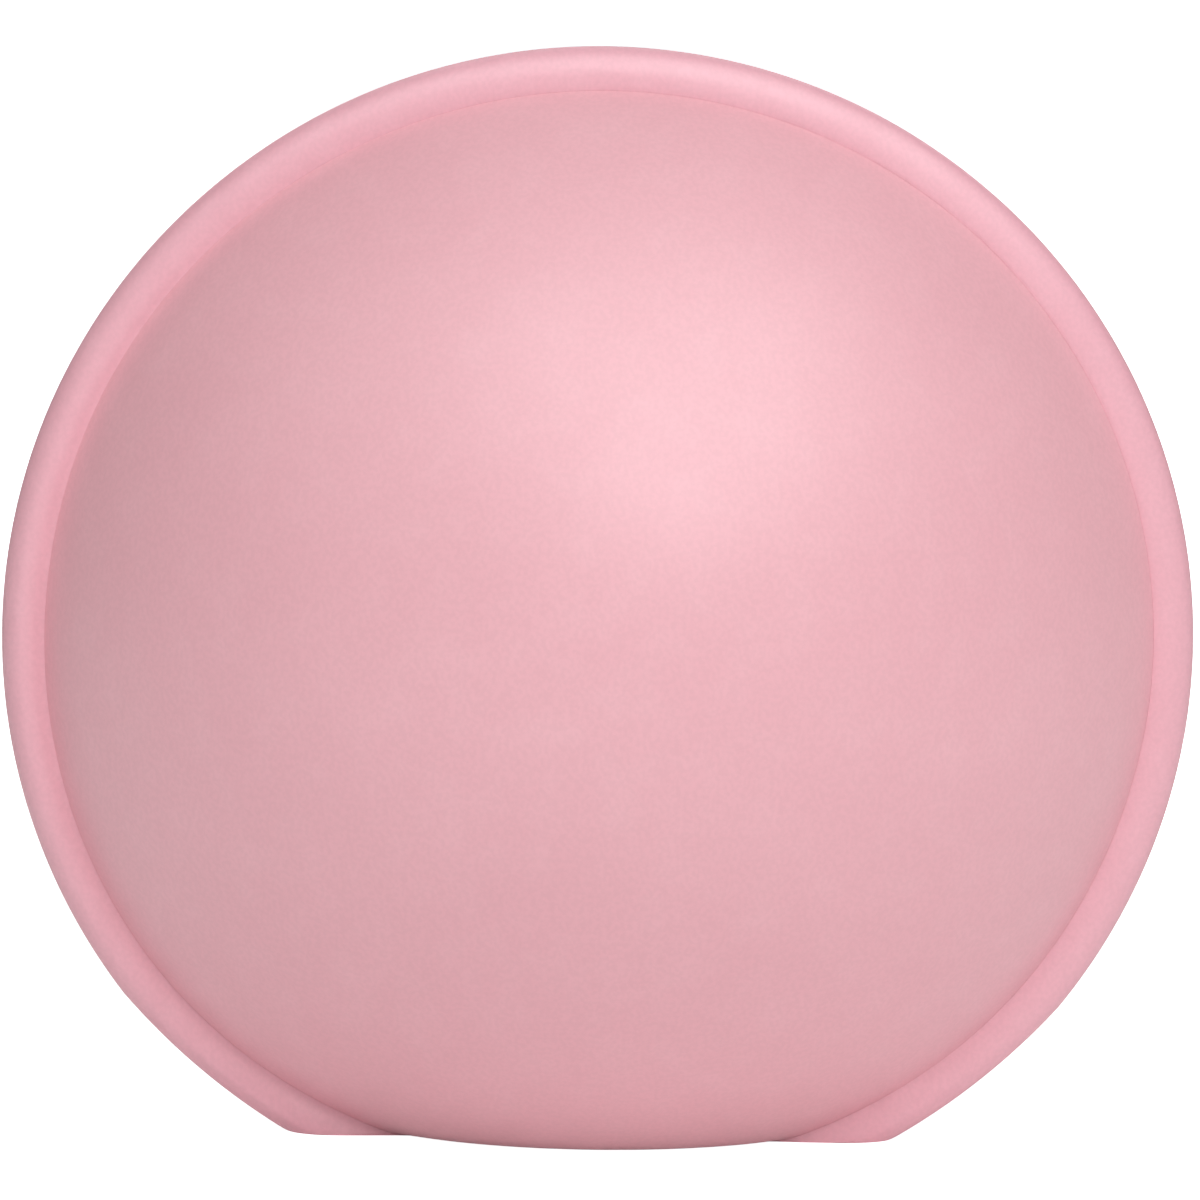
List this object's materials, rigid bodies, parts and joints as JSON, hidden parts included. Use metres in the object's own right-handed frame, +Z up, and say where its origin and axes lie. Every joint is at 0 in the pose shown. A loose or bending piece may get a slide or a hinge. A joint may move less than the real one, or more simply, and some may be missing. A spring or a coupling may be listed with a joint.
{
  "type": "silicone cupping cup",
  "caption": "Soft pink squeeze cup for suction massage: smooth dome in a rounded rim, cut flat underneath to stand up, open mouth with soft lip, press-to-release air valve in the base.",
  "frame": {"origin": "centre of the cup's length over its flat base: x = 0 on the plane of symmetry, z = 0 on the base, y = 0 where the dome meets the rim, halfway between dome crown and mouth lip", "axes": "+Z up out of the flat base, +Y out of the open mouth towards the skin, -Y out of the dome's crown, +X to the right when facing the dome"},
  "size_m": [0.076, 0.0394, 0.0701],
  "materials": {
    "dome_silicone": "matte moulded silicone",
    "rim_silicone": "matte moulded silicone",
    "lip_silicone": "soft satin silicone",
    "frame_plastic": "fine spark-eroded polypropylene",
    "valve_plastic": "natural white acetal",
    "button_plastic": "satin",
    "spring_steel": "drawn stainless wire"
  },
  "bodies": {
    "cup_body": {"rim_sleeve": "rim_silicone", "front_hoop": "frame_plastic", "collar_frame": "frame_plastic", "skin_lip": "lip_silicone", "valve_bush": "valve_plastic", "valve_spring": "spring_steel"},
    "dome_crown": {"squeeze_dome": "dome_silicone"},
    "release_valve": {"valve_button": "button_plastic", "valve_seal": "lip_silicone", "stem_clip": "spring_steel"}
  },
  "joints": [
    {"name": "dome_squeeze", "type": "slide", "parent": "cup_body", "child": "dome_crown", "axis": [0, 1, 0], "range_m": [0, 0.01], "stiffness_N_per_m": 1500, "deforming": ["squeeze_dome"]},
    {"name": "valve_press", "type": "slide", "parent": "cup_body", "child": "release_valve", "axis": [0, 0, 1], "range_m": [0, 0.0012], "stiffness_N_per_m": 400, "deforming": ["valve_spring"]}
  ]
}
